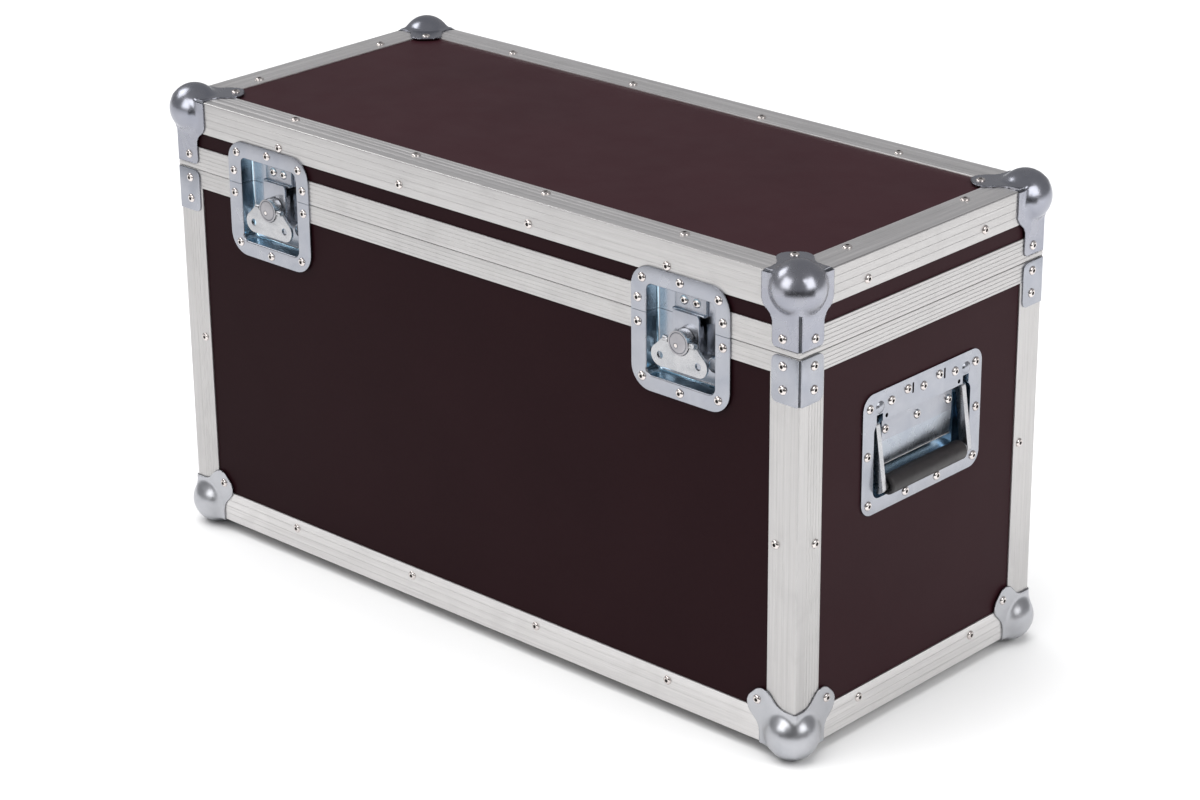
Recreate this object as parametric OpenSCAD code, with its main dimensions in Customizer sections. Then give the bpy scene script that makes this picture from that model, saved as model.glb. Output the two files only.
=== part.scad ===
// Equipment flight case. Film-faced plywood panels sit in riveted aluminium edging, with a
// hinged lid, ball corners, two recessed butterfly latches on the long front and a recessed
// sprung handle in each end.
// Axes: +X to the right, the front faces -Y, +Z is up. The origin is on the floor, under the
// middle of the case.

/* [Case] */
// Width over the edging
case_w = 733; // [640:1:1000]
// Depth over the edging
case_d = 318; // [300:1:600]
// Height over the edging
case_h = 410.5; // [380:0.5:600]
// Height of the lid, from the split up
lid_h = 65.5; // [65:0.5:90]
// Thickness of the plywood
ply_t = 9; // [6:0.5:12]

/* [Edging] */
// Width of each flange of the angle
angle_w = 30; // [25:1:35]
// Thickness of the angle and of the rim walls
angle_t = 1.5; // [1:0.25:2]
// Visible height of the rim around the body
body_rim_h = 17; // [14:0.5:22]
// Visible height of the rim around the lid
lid_rim_h = 21.6; // [14:0.1:24]
// Gap between the two rims when the lid is shut
lid_gap = 0.4; // [0.2:0.1:0.6]
// Height of the tongue that the lid rim drops over
tongue_h = 4; // [2:0.5:4]

/* [Ball corners] */
// Radius of the ball
ball_r = 23; // [18:0.5:26]
// Distance of the ball's centre from each face
ball_inset = 12; // [10:0.5:14]
// Thickness of the corner plates
corner_t = 1.5; // [1:0.25:2]

/* [Latches] */
// Distance between the two latches, centre to centre
latch_spread = 488; // [400:1:500]
// Width of the latch plate
latch_w = 105; // [100:1:115]
// Height of the latch plate above the split
latch_up = 40; // [38:0.5:44]
// Height of the latch plate below the split
latch_down = 67; // [65:0.5:75]
// Inside depth of the latch dish
latch_depth = 13.5; // [13:0.1:15]
// Distance that the cam lifts the claw
claw_lift = 6; // [4:0.5:6]

/* [Handles] */
// Width of the handle plate
handle_w = 157; // [150:1:170]
// Height of the handle plate
handle_h = 106; // [104:1:115]
// Height of the plate's middle above the bottom of the edging
handle_z = 235; // [150:1:260]
// Inside depth of the handle dish
handle_depth = 18; // [16:0.5:20]
// Radius of the rubber grip
grip_r = 8.5; // [8:0.25:9]

/* [Hinges] */
// Width of each hinge
hinge_w = 60; // [50:1:80]
// Angle at which the hinge's heel stops the lid
lid_open = 105; // [95:1:110]

/* [Hidden] */
$fn = 48;
SIDES = ["front", "right", "back", "left"];
CORNERS = ["front_left", "front_right", "back_right", "back_left"];
ENDS = [-1, 1];

// Colours
ply_colour = [0.23, 0.15, 0.15];
alu_colour = [0.76, 0.75, 0.74];
zinc_colour = [0.68, 0.70, 0.74];
rivet_colour = [0.80, 0.78, 0.76];
rubber_colour = [0.10, 0.10, 0.10];

// Heights of the main planes
z_base = ball_r - ball_inset;
z_top = z_base + case_h;
z_split = z_top - lid_h;
half_gap = lid_gap / 2;

// Rim profile
rim_depth = ply_t + 2 * angle_t;
rim_inner_h = 14;
body_web = 2.5;
lid_web = 2.5;
groove_h = tongue_h + 1;
tongue_w = 4;
groove_w = 7;
body_panel_top = z_split - half_gap - body_web;
lid_panel_low = z_split + half_gap + groove_h + lid_web;

// Corner plates
lobe_at = 38.5;
lobe_end = 62.2;
lobe_w = 29.6;
lobe_r = 11.5;
corner_square = 36.5;
leg_w = 28;
leg_h = 60.5;
leg_wide = 39;
brace_h = 40;
brace_drop = 0.5;

// Latch, measured from its middle and from the split
plate_t = 1.5;
pan_t = 1.2;
latch_r = 20;
dish_w = 73;
dish_up = 25;
dish_down = 53;
dish_r = 6;
cutout_play = 1.2;
drum_z = -16.5;
drum_r = 10.5;
drum_front = -4;
drum_back = 5;
cam_r = 7;
cam_throw = claw_lift / 2;
shaft_r = 3.5;
running_play = 0.05;
claw_front = 5.5;
claw_t = 2;
claw_w = 28;
claw_top = 6.5;
claw_low = -31.5;
keeper_w = 34;
keeper_lip = 8.3;
wing_t = 2.2;
wing_y = -1.6;
wing_pin_r = 1.5;
lobe_hole = [20.3, -32];

// Handle, measured from the middle of its plate
handle_r = 13;
recess_w = 128;
recess_up = 26;
recess_down = 40.5;
recess_r = 8;
shelf_depth = 6;
shelf_z = 4;
slope_end = [7.5, -18];
channel_x = 46.5;
slit = [2.2, 9];
arm_x = 57;
arm_t = 5;
arm_slot = 8;
pocket_low = 20;
pocket_up = 33;
dome = [5.5, 2];
dome_z = 39;
side_hole = [48, 29.5];
pivot = [11, 20];
pivot_r = 2;
shoulder = [5, 22];
grip_at = [-2, -31];
grip_rod_r = 4;
grip_len = 100;

// Hinge, measured from the middle of its knuckle
hinge_out = 4;
knuckle_r = 3.6;
knuckle_gap = 0.4;
hinge_pin_r = 1.6;
leaf_h = 38;
knuckles = 5;

// Rivets
rivet_r = 4;
rivet_h = 1.9;
rivet_hole_r = 1.3;
edge_rivet_in = 21.3;
edge_rivets_long = [-229, -76.5, 76.5, 229];
edge_rivets_short = [-76.5, 76.5];

// ---- Frames ----

function side_turn(s) = s == "front" ? 0 : s == "right" ? 90 : s == "back" ? 180 : 270;
function side_long(s) = s == "front" || s == "back";
function side_out(s) = side_long(s) ? case_d / 2 : case_w / 2;
function side_len(s) = side_long(s) ? case_w : case_d;
function side_rivets(s) = side_long(s) ? edge_rivets_long : edge_rivets_short;

// A side's own frame: X along the side, Y inward from its outer face, Z up
module on_side(s) {
    rotate([0, 0, side_turn(s)]) translate([0, -side_out(s), 0]) children();
}

function corner_turn(c) = c == "front_left" ? 0 : c == "front_right" ? 90 : c == "back_right" ? 180 : 270;
function corner_x(c) = (c == "front_left" || c == "back_left" ? -1 : 1) * case_w / 2;
function corner_y(c) = (c == "front_left" || c == "front_right" ? -1 : 1) * case_d / 2;

// A vertical corner's own frame: X and Y both inward from the corner's edge
module at_corner(c) {
    translate([corner_x(c), corner_y(c), 0]) rotate([0, 0, corner_turn(c)]) children();
}

// Repeats what is drawn on the corner's Y = 0 face on its X = 0 face
module both_faces() {
    children();
    mirror([1, -1, 0]) children();
}

// The same things upside down, hung from the top plane
module from_top() {
    translate([0, 0, z_top]) mirror([0, 0, 1]) children();
}

// ---- Shapes ----

// Extrudes an outline drawn in X and Z between two depths, where Y is inward
module slab(y0, y1) {
    translate([0, y1, 0]) rotate([90, 0, 0]) linear_extrude(y1 - y0) children();
}

// Extrudes a profile drawn in Y and Z along X, about the middle
module bar(length) {
    rotate([90, 0, 90]) linear_extrude(length, center = true) children();
}

// A rod along X with its centre at a place in Y and Z
module rod(r, length, at = [0, 0]) {
    bar(length) translate(at) circle(r = r);
}

module rounded(w, h, r) {
    square([w - 2 * r, h], center = true);
    square([w, h - 2 * r], center = true);
    for (x = ENDS, y = ENDS) translate([x * (w / 2 - r), y * (h / 2 - r)]) circle(r = r);
}

// A rounded outline given by how far it reaches up and down
module rounded_up_down(w, up, down, r) {
    translate([0, (up - down) / 2]) rounded(w, up + down, r);
}

// Cuts the ends of an extrusion on a side at 45 degrees
module mitred(s) {
    reach = 40;
    half = side_len(s) / 2;
    intersection() {
        children();
        linear_extrude(z_top + reach)
            polygon([[-half, 0], [half, 0], [half - reach, reach], [-half + reach, reach]]);
    }
}

// ---- Plywood ----

// The room that a latch's dish needs through the panels and the rims
module latch_cutouts() {
    for (x = ENDS) translate([x * latch_spread / 2, 0, z_split])
        slab(-1, rim_depth + 1)
            rounded_up_down(dish_w + 2 * (pan_t + cutout_play), dish_up + pan_t + cutout_play,
                dish_down + pan_t + cutout_play, dish_r);
}

module handle_cutout() {
    translate([0, 0, z_base + handle_z])
        slab(-1, rim_depth + 1)
            rounded_up_down(recess_w + 2 * (pan_t + cutout_play), pocket_up + pan_t + cutout_play,
                recess_down + pan_t + cutout_play, dish_r);
}

module wall_panel(s, z0, z1) {
    width = side_long(s) ? case_w - 2 * angle_t : case_d - 2 * (angle_t + ply_t);
    translate([-width / 2, angle_t, z0]) cube([width, ply_t, z1 - z0]);
}

module body_panel(s) {
    color(ply_colour) on_side(s) difference() {
        wall_panel(s, z_base + angle_t, body_panel_top);
        if (s == "front") latch_cutouts();
        if (!side_long(s)) handle_cutout();
    }
}

module lid_panel(s) {
    color(ply_colour) on_side(s) difference() {
        wall_panel(s, lid_panel_low, z_top - angle_t);
        if (s == "front") latch_cutouts();
    }
}

// The flat board that closes the box between its four walls
module flat_panel(z) {
    inset = 2 * (angle_t + ply_t);
    color(ply_colour) translate([0, 0, z + ply_t / 2])
        cube([case_w - inset, case_d - inset, ply_t], center = true);
}

// ---- Edging ----

module angle_profile() {
    polygon([[0, 0], [angle_w, 0], [angle_w, angle_t], [angle_t, angle_t], [angle_t, angle_w], [0, angle_w]]);
}

module bottom_edge(s) {
    color(alu_colour) on_side(s) mitred(s) translate([0, 0, z_base]) bar(side_len(s)) angle_profile();
}

module lid_edge(s) {
    color(alu_colour) on_side(s) mitred(s) from_top() bar(side_len(s)) angle_profile();
}

module corner_edge(c) {
    z0 = z_base + angle_w;
    z1 = z_split - half_gap - body_rim_h;
    color(alu_colour) at_corner(c) translate([0, 0, z0]) linear_extrude(z1 - z0) angle_profile();
}

// Body rim: a channel over the top of the panel, with a tongue that locates the lid
module body_rim_profile() {
    tongue_y = (rim_depth - tongue_w) / 2;
    translate([0, -body_rim_h]) square([angle_t, body_rim_h]);
    translate([rim_depth - angle_t, -rim_inner_h]) square([angle_t, rim_inner_h]);
    translate([0, -body_web]) square([rim_depth, body_web]);
    translate([tongue_y, -body_web]) square([tongue_w, body_web + tongue_h]);
}

// Lid rim: the same channel upside down, with a groove for the tongue
module lid_rim_profile() {
    square([angle_t, lid_rim_h]);
    translate([rim_depth - angle_t, 0]) square([angle_t, rim_inner_h]);
    difference() {
        square([rim_depth, groove_h + lid_web]);
        translate([(rim_depth - groove_w) / 2, -1]) square([groove_w, groove_h + 1]);
    }
}

module body_rim(s) {
    color(alu_colour) on_side(s) difference() {
        mitred(s) translate([0, 0, z_split - half_gap]) bar(side_len(s)) body_rim_profile();
        if (s == "front") latch_cutouts();
    }
}

module lid_rim(s) {
    color(alu_colour) on_side(s) difference() {
        mitred(s) translate([0, 0, z_split + half_gap]) bar(side_len(s)) lid_rim_profile();
        if (s == "front") latch_cutouts();
    }
}

// ---- Ball corners and braces ----

// The part of the ball that stands outside the case
module ball_shell() {
    difference() {
        translate([ball_inset, ball_inset, ball_inset]) sphere(r = ball_r, $fn = 64);
        cube(3 * ball_r);
    }
}

// A corner plate with its diagonal lobe, wrapped past the edge by its own thickness
module lobed_outline() {
    translate([-corner_t, -corner_t]) square(corner_square + corner_t);
    rotate(45) translate([3 / 4 * lobe_end, 0]) rounded(lobe_end / 2, lobe_w, lobe_r);
}

// A long leg that runs down a lid corner, wide at the ball and narrow below
module leg_outline() {
    end_r = 5;
    neck = 22;
    waist = 40;
    polygon([
        [-corner_t, -corner_t], [leg_wide, -corner_t], [leg_wide, neck], [leg_w, waist],
        [leg_w, leg_h - end_r], [leg_w - end_r, leg_h], [-corner_t, leg_h]
    ]);
    translate([leg_w - end_r, leg_h - end_r]) circle(r = end_r);
}

module lobed_floor_plate() {
    translate([0, 0, -corner_t]) linear_extrude(corner_t) lobed_outline();
}

module bottom_ball_corners() {
    color(zinc_colour) for (c = CORNERS) at_corner(c) translate([0, 0, z_base]) {
        ball_shell();
        lobed_floor_plate();
        both_faces() slab(-corner_t, 0) lobed_outline();
    }
}

module lid_ball_corners() {
    color(zinc_colour) for (c = CORNERS) at_corner(c) from_top() {
        ball_shell();
        lobed_floor_plate();
        both_faces() slab(-corner_t, 0) leg_outline();
    }
}

module brace_outline() {
    brace_r = 6;
    intersection() {
        translate([0, -brace_h / 2]) rounded(2 * leg_w, brace_h, brace_r);
        translate([-corner_t, -brace_h]) square([leg_w + corner_t, brace_h]);
    }
}

module corner_braces() {
    color(zinc_colour) for (c = CORNERS) at_corner(c) translate([0, 0, z_split - brace_drop])
        both_faces() slab(-corner_t, 0) brace_outline();
}

// ---- Butterfly latches ----

module at_latch(x) {
    translate([x * latch_spread / 2, -case_d / 2, z_split]) children();
}

// The whole pressed dish, before it is cut in two at the split
module latch_pressing() {
    difference() {
        union() {
            slab(-plate_t, 0) rounded_up_down(latch_w, latch_up, latch_down, latch_r);
            slab(-plate_t, latch_depth + pan_t)
                rounded_up_down(dish_w + 2 * pan_t, dish_up + pan_t, dish_down + pan_t, dish_r + pan_t);
        }
        slab(-plate_t - 1, latch_depth) rounded_up_down(dish_w, dish_up, dish_down, dish_r);
    }
}

// Keeps what lies above (way = 1) or below (way = -1) the gap between lid and body
module half_of(way) {
    reach = 200;
    intersection() {
        children();
        translate([0, 0, way * (half_gap + reach / 2)]) cube(reach, center = true);
    }
}

module latch_dish(x) {
    color(zinc_colour) at_latch(x) difference() {
        half_of(-1) latch_pressing();
        slab(0, latch_depth + 2 * pan_t) translate([0, drum_z]) circle(r = shaft_r + running_play);
    }
}

module lid_dish(x) {
    color(zinc_colour) at_latch(x) half_of(1) latch_pressing();
}

// The lid's half of the catch: a plate on the dish floor with a lip turned outward
module keeper(x) {
    base_t = 2;
    lip_z = 5;
    base_up = 22;
    color(zinc_colour) at_latch(x) bar(keeper_w) {
        translate([latch_depth - base_t, lip_z]) square([base_t, base_up - lip_z]);
        translate([keeper_lip + 1, lip_z]) square([latch_depth - keeper_lip - 1, base_t]);
        translate([keeper_lip + 1, lip_z + 1]) circle(r = 1);
    }
}

// The claw: a plate with side flanges and a window that the cam turns in
module claw(x) {
    window_w = 2 * (cam_r + cam_throw) + 1.2;
    window_play = 0.9;
    flange_in = 4;
    flange_up = -3;
    hook_in = 0.5;
    color("silver") at_latch(x) difference() {
        union() {
            slab(claw_front, claw_front + claw_t) translate([0, (claw_top + claw_low) / 2])
                rounded(claw_w, claw_top - claw_low, 3);
            translate([0, 0, claw_top - claw_t]) slab(claw_front, claw_front + claw_t + hook_in)
                translate([-claw_w / 2 + 3, 0]) square([claw_w - 6, claw_t]);
            for (side = ENDS) slab(claw_front + claw_t, claw_front + claw_t + flange_in)
                translate([side * (claw_w - claw_t) / 2 - claw_t / 2, claw_low + 3])
                    square([claw_t, flange_up - claw_low - 3]);
        }
        slab(claw_front - 1, claw_front + claw_t + 1) translate([0, drum_z - cam_throw])
            square([window_w, 2 * (cam_r + window_play)], center = true);
    }
}

// The stem: the drum in front, the cam behind it, a shaft through the dish and a retaining head
module stem(x) {
    cam_back = claw_front + claw_t + 0.5;
    head_front = latch_depth + pan_t + 0.2;
    head_t = 1.5;
    color("silver") at_latch(x) translate([0, 0, drum_z]) {
        slab(drum_front, drum_back) circle(r = drum_r);
        slab(drum_back, cam_back) translate([0, -cam_throw]) circle(r = cam_r);
        slab(cam_back, head_front) circle(r = shaft_r);
        slab(head_front, head_front + head_t) circle(r = shaft_r + 1.5);
        rod(wing_pin_r, 33, [wing_y, 0]);
    }
}

module wing_outline() {
    top = drum_z + wing_t / 2;
    ear_out = 16.8;
    lobe_r = 9.5;
    drum_clear = drum_r + 0.6;
    difference() {
        union() {
            polygon([
                [-ear_out, top], [ear_out, top], [28.3, -27], [lobe_hole.x, lobe_hole.y - lobe_r],
                [-lobe_hole.x, lobe_hole.y - lobe_r], [-28.3, -27]
            ]);
            for (side = ENDS) translate([side * lobe_hole.x, lobe_hole.y]) circle(r = lobe_r);
        }
        translate([0, drum_z]) circle(r = drum_clear);
        translate([-drum_clear, drum_z]) square([2 * drum_clear, 10]);
        for (side = ENDS) translate([side * lobe_hole.x, lobe_hole.y]) circle(r = 3.2);
    }
}

// The folding wing, with an ear each side of the drum that turns on the drum's cross pin
module wing(x) {
    ear_len = 5.4;
    ear_x = 14.1;
    ear_r = 2.6;
    color("gainsboro") at_latch(x) difference() {
        union() {
            slab(wing_y - wing_t / 2, wing_y + wing_t / 2) wing_outline();
            for (side = ENDS) translate([side * ear_x, 0, drum_z]) rod(ear_r, ear_len, [wing_y, 0]);
        }
        translate([0, 0, drum_z]) rod(wing_pin_r + running_play, 40, [wing_y, 0]);
    }
}

// ---- Sprung handles ----

function end_side(x) = x < 0 ? "left" : "right";

module at_handle(x) {
    on_side(end_side(x)) translate([0, 0, z_base + handle_z]) children();
}

// A box-shaped outline round each arm of the bail
module arm_pockets(margin) {
    for (side = ENDS) translate([side * arm_x, (pocket_low + pocket_up) / 2])
        square([arm_slot + 2 * margin, pocket_up - pocket_low + 2 * margin], center = true);
}

// The recess: a shallow shelf above, a ledge down to the full depth, and a channel for each arm
module handle_recess(front, margin) {
    full = handle_depth + margin;
    intersection() {
        slab(front, full) rounded_up_down(recess_w + 2 * margin, recess_up + margin, recess_down + margin,
            recess_r + margin);
        union() {
            slab(front, shelf_depth + margin) square(2 * recess_w, center = true);
            bar(2 * recess_w) translate([0, margin]) polygon([
                [front, shelf_z], [shelf_depth + margin, shelf_z], [slope_end.x + margin, slope_end.y],
                [full + 1, slope_end.y], [full + 1, -recess_w], [front, -recess_w]
            ]);
            for (side = ENDS) slab(front, full)
                translate([side * (channel_x - margin + recess_w / 2), 0]) square(recess_w, center = true);
        }
    }
}

// A shallow dome over the end of each arm, given by its radius and its rise
module arm_dome(side) {
    ball_r = (dome.x * dome.x + dome.y * dome.y) / (2 * dome.y);
    intersection() {
        translate([side * arm_x, ball_r - dome.y, dome_z]) sphere(r = ball_r);
        slab(-2 * dome.y, plate_t / 2) translate([side * arm_x, dome_z]) circle(r = ball_r);
    }
}

module handle_dish(x) {
    slit_from_rivet = 7;
    side_hole_r = 1.8;
    color(zinc_colour) at_handle(x) difference() {
        union() {
            slab(0, plate_t) rounded(handle_w, handle_h, handle_r);
            handle_recess(0, pan_t);
            slab(0, handle_depth + pan_t) arm_pockets(pan_t);
            for (side = ENDS) arm_dome(side);
        }
        handle_recess(-1, 0);
        slab(-1, handle_depth) arm_pockets(0);
        rod(pivot_r + running_play, 2 * arm_x, pivot);
        for (side = ENDS) slab(-1, plate_t + 1)
            translate([side * 21 + slit_from_rivet, 43]) square(slit, center = true);
        for (side = ENDS) slab(-1, plate_t + 1)
            translate([side * side_hole.x, side_hole.y]) circle(r = side_hole_r);
    }
}

// A straight link between two round ends
module link(first, first_r, second, second_r) {
    along = (second - first) / norm(second - first);
    across = [along.y, -along.x];
    translate(first) circle(r = first_r);
    translate(second) circle(r = second_r);
    polygon([
        first + first_r * across, second + second_r * across, second - second_r * across, first - first_r * across
    ]);
}

// One flat arm of the bail, from its pivot over its shoulder down to the grip
module arm_profile() {
    pivot_end_r = 4.5;
    shoulder_r = 3.5;
    grip_end_r = 4.5;
    link(pivot, pivot_end_r, shoulder, shoulder_r);
    link(shoulder, shoulder_r, grip_at, grip_end_r);
}

module bail(x) {
    color("silver") at_handle(x) {
        for (side = ENDS) translate([side * arm_x, 0, 0]) bar(arm_t) arm_profile();
        rod(pivot_r, 2 * arm_x, pivot);
        rod(grip_rod_r, 2 * arm_x, grip_at);
    }
}

module grip(x) {
    color(rubber_colour) at_handle(x) difference() {
        rod(grip_r, grip_len, grip_at);
        rod(grip_rod_r, grip_len + 2, grip_at);
    }
}

// A closed tube swept through a list of points, from rings that face along X or Z as given
module swept_tube(rings) {
    sides = len(rings[0]);
    points = [for (ring = rings) each ring];
    walls = [
        for (i = [0 : len(rings) - 2], j = [0 : sides - 1])
            let (k = (j + 1) % sides)
            [i * sides + j, i * sides + k, (i + 1) * sides + k, (i + 1) * sides + j]
    ];
    first = [for (j = [sides - 1 : -1 : 0]) j];
    last = [for (j = [0 : sides - 1]) (len(rings) - 1) * sides + j];
    polyhedron(points, concat([first], walls, [last]), convexity = 10);
}

// The torsion spring that pulls the bail back, wound loosely round its pivot rod
module handle_spring(x) {
    wire_r = 0.6;
    coil_r = 3.1;
    turns = 6;
    steps = 14;
    pitch = 2 * wire_r + 0.4;
    sides = 8;
    rings = [
        for (i = [0 : turns * steps])
            let (turn = 360 * i / steps)
            [for (j = [0 : sides - 1])
                let (a = 360 * j / sides, r = coil_r + wire_r * cos(a))
                [pitch * i / steps + wire_r * sin(a), pivot.x + r * cos(turn), pivot.y + r * sin(turn)]]
    ];
    color("gray") at_handle(x) translate([-turns * pitch / 2, 0, 0]) swept_tube(rings);
}

// ---- Rear hinges ----

// The hinge's frame on the back: Y inward from the knuckle's axis, Z up from the split
module at_hinge(x) {
    on_side("back") translate([-x * latch_spread / 2, -hinge_out, z_split]) children();
}

knuckle_len = hinge_w / knuckles;

function knuckle_x(i) = (i - (knuckles - 1) / 2) * knuckle_len;

// One leaf, drawn for the body. Its own knuckles are the even or the odd ones.
module hinge_leaf(first) {
    play = 0.6;
    others = [for (i = [1 - first : 2 : knuckles - 1]) i];
    own = [for (i = [first : 2 : knuckles - 1]) i];
    difference() {
        union() {
            difference() {
                slab(hinge_out - plate_t, hinge_out) translate([-hinge_w / 2, -leaf_h])
                    square([hinge_w, leaf_h - half_gap]);
                for (i = others) translate([knuckle_x(i), 0, 0])
                    cube([knuckle_len + knuckle_gap, 3 * hinge_out, 2 * (knuckle_r + play)], center = true);
            }
            for (i = own) translate([knuckle_x(i), 0, 0]) {
                rod(knuckle_r, knuckle_len - knuckle_gap);
                bar(knuckle_len - knuckle_gap) translate([0, -knuckle_r])
                    square([hinge_out, knuckle_r - half_gap]);
            }
        }
        rod(hinge_pin_r + running_play, hinge_w + 2);
    }
}

// The heel on the lid's knuckles, drawn where it meets the body's leaf, then turned back to rest
module lid_stop() {
    face = hinge_out - plate_t - 0.2;
    for (i = [1 : 2 : knuckles - 1]) translate([knuckle_x(i), 0, 0]) rotate([-lid_open, 0, 0])
        bar(knuckle_len - knuckle_gap)
            polygon([[face, -2.7], [face, -6.4], [0.8, -6.8], [-0.6, -3.3], [0.6, -2.2]]);
}

module hinge_leaf_body(x) {
    color(zinc_colour) at_hinge(x) hinge_leaf(0);
}

module hinge_leaf_lid(x) {
    color(zinc_colour) at_hinge(x) {
        mirror([0, 0, 1]) hinge_leaf(1);
        lid_stop();
    }
}

module hinge_pins() {
    head_t = 1.5;
    color("silver") for (x = ENDS) at_hinge(x) {
        rod(hinge_pin_r, hinge_w);
        translate([(hinge_w + head_t) / 2, 0, 0]) rod(hinge_pin_r + 1.4, head_t);
    }
}

// ---- Rivets ----

// A domed head that stands on Z = 0, with the hollow left by its mandrel
module rivet() {
    dome_r = (rivet_r * rivet_r + rivet_h * rivet_h) / (2 * rivet_h);
    difference() {
        intersection() {
            translate([0, 0, rivet_h - dome_r]) sphere(r = dome_r, $fn = 40);
            cylinder(r = rivet_r + 1, h = rivet_h + 1);
        }
        translate([0, 0, rivet_h / 2]) cylinder(r = rivet_hole_r, h = rivet_h, $fn = 24);
    }
}

// A rivet on a side's face at x and z, on a plate that stands out by so much
module face_rivet(x, z, out = 0) {
    translate([x, -out, z]) rotate([90, 0, 0]) rivet();
}

module edge_side_rivets(s, z) {
    on_side(s) for (x = side_rivets(s)) face_rivet(x, z);
}

module edge_flat_rivets() {
    for (s = SIDES) on_side(s) for (x = side_rivets(s)) translate([x, edge_rivet_in, 0]) rivet();
}

module mid_corner_rivets() {
    across = 22.5;
    above_base = 181.5;
    both_faces() face_rivet(across, z_base + above_base);
}

module brace_rivets() {
    across = 16;
    for (down = [9, 29]) both_faces() face_rivet(across, z_split - down, corner_t);
}

// Rivets of a latch plate that lie above (way = 1) or below (way = -1) the split
module latch_rivets(way) {
    places = way > 0
        ? [[-40.6, 29.2], [40.6, 29.2], [0, 33.5], [-45.2, 11.2], [45.2, 11.2]]
        : [[-40.6, -55.8], [40.6, -55.8], [0, -60.5], [-45.2, -9.6], [45.2, -9.6]];
    for (p = places) face_rivet(p.x, p.y, plate_t);
}

module keeper_rivets() {
    for (side = ENDS) face_rivet(side * 6.7, 14.5, 2 - latch_depth);
}

module handle_rivets() {
    for (side = ENDS) {
        face_rivet(side * 70, 41);
        face_rivet(side * 72, 0);
        face_rivet(side * 70, -43.5);
        face_rivet(side * 42, 40.5);
        face_rivet(side * 21, 44);
        face_rivet(side * 21, -46);
        face_rivet(side * 42, 14, -shelf_depth);
    }
    face_rivet(0, 40.5);
    face_rivet(0, 14, -shelf_depth);
}

module hinge_rivets(way) {
    for (x = [-22, 0, 22]) face_rivet(x, way * 27, plate_t - hinge_out);
}

module body_rivets() {
    color(rivet_colour) {
        for (s = SIDES) edge_side_rivets(s, z_base + edge_rivet_in);
        translate([0, 0, z_base]) mirror([0, 0, 1]) edge_flat_rivets();
        for (c = CORNERS) at_corner(c) {
            mid_corner_rivets();
            brace_rivets();
            both_faces() face_rivet(lobe_at, z_base + lobe_at, corner_t);
            translate([lobe_at, lobe_at, z_base - corner_t]) mirror([0, 0, 1]) rivet();
        }
        for (x = ENDS) {
            at_latch(x) latch_rivets(-1);
            at_handle(x) handle_rivets();
            at_hinge(x) hinge_rivets(-1);
        }
    }
}

module lid_rivets() {
    leg_rivet = [16.5, 52];
    color(rivet_colour) {
        for (s = SIDES) edge_side_rivets(s, z_top - edge_rivet_in);
        translate([0, 0, z_top]) edge_flat_rivets();
        for (c = CORNERS) at_corner(c) {
            translate([lobe_at, lobe_at, z_top + corner_t]) rivet();
            both_faces() face_rivet(leg_rivet.x, z_top - leg_rivet.y, corner_t);
        }
        for (x = ENDS) {
            at_latch(x) latch_rivets(1);
            at_latch(x) keeper_rivets();
            at_hinge(x) hinge_rivets(1);
        }
    }
}

// ---- What is drawn ----

body_panel("front");  // body_panel_front
body_panel("back");  // body_panel_back
body_panel("left");  // body_panel_left
body_panel("right");  // body_panel_right
flat_panel(z_base + angle_t);  // body_panel_bottom
bottom_edge("front");  // bottom_edge_front
bottom_edge("back");  // bottom_edge_back
bottom_edge("left");  // bottom_edge_left
bottom_edge("right");  // bottom_edge_right
corner_edge("front_left");  // corner_edge_front_left
corner_edge("front_right");  // corner_edge_front_right
corner_edge("back_left");  // corner_edge_back_left
corner_edge("back_right");  // corner_edge_back_right
body_rim("front");  // body_rim_front
body_rim("back");  // body_rim_back
body_rim("left");  // body_rim_left
body_rim("right");  // body_rim_right
bottom_ball_corners();
corner_braces();
body_rivets();
lid_panel("front");  // lid_panel_front
lid_panel("back");  // lid_panel_back
lid_panel("left");  // lid_panel_left
lid_panel("right");  // lid_panel_right
flat_panel(z_top - angle_t - ply_t);  // lid_panel_top
lid_edge("front");  // lid_edge_front
lid_edge("back");  // lid_edge_back
lid_edge("left");  // lid_edge_left
lid_edge("right");  // lid_edge_right
lid_rim("front");  // lid_rim_front
lid_rim("back");  // lid_rim_back
lid_rim("left");  // lid_rim_left
lid_rim("right");  // lid_rim_right
lid_ball_corners();
lid_rivets();
latch_dish(-1);  // latch_dish_left
latch_dish(1);  // latch_dish_right
lid_dish(-1);  // lid_dish_left
lid_dish(1);  // lid_dish_right
keeper(-1);  // keeper_left
keeper(1);  // keeper_right
claw(-1);  // claw_left
claw(1);  // claw_right
stem(-1);  // stem_left
stem(1);  // stem_right
wing(-1);  // wing_left
wing(1);  // wing_right
handle_dish(-1);  // handle_dish_left
handle_dish(1);  // handle_dish_right
bail(-1);  // bail_left
bail(1);  // bail_right
grip(-1);  // grip_left
grip(1);  // grip_right
handle_spring(-1);  // handle_spring_left
handle_spring(1);  // handle_spring_right
hinge_leaf_body(-1);  // hinge_leaf_body_left
hinge_leaf_body(1);  // hinge_leaf_body_right
hinge_leaf_lid(-1);  // hinge_leaf_lid_left
hinge_leaf_lid(1);  // hinge_leaf_lid_right
hinge_pins();
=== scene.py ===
import math

import bmesh
import bpy
import numpy as np
from mathutils import Matrix, Vector


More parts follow.
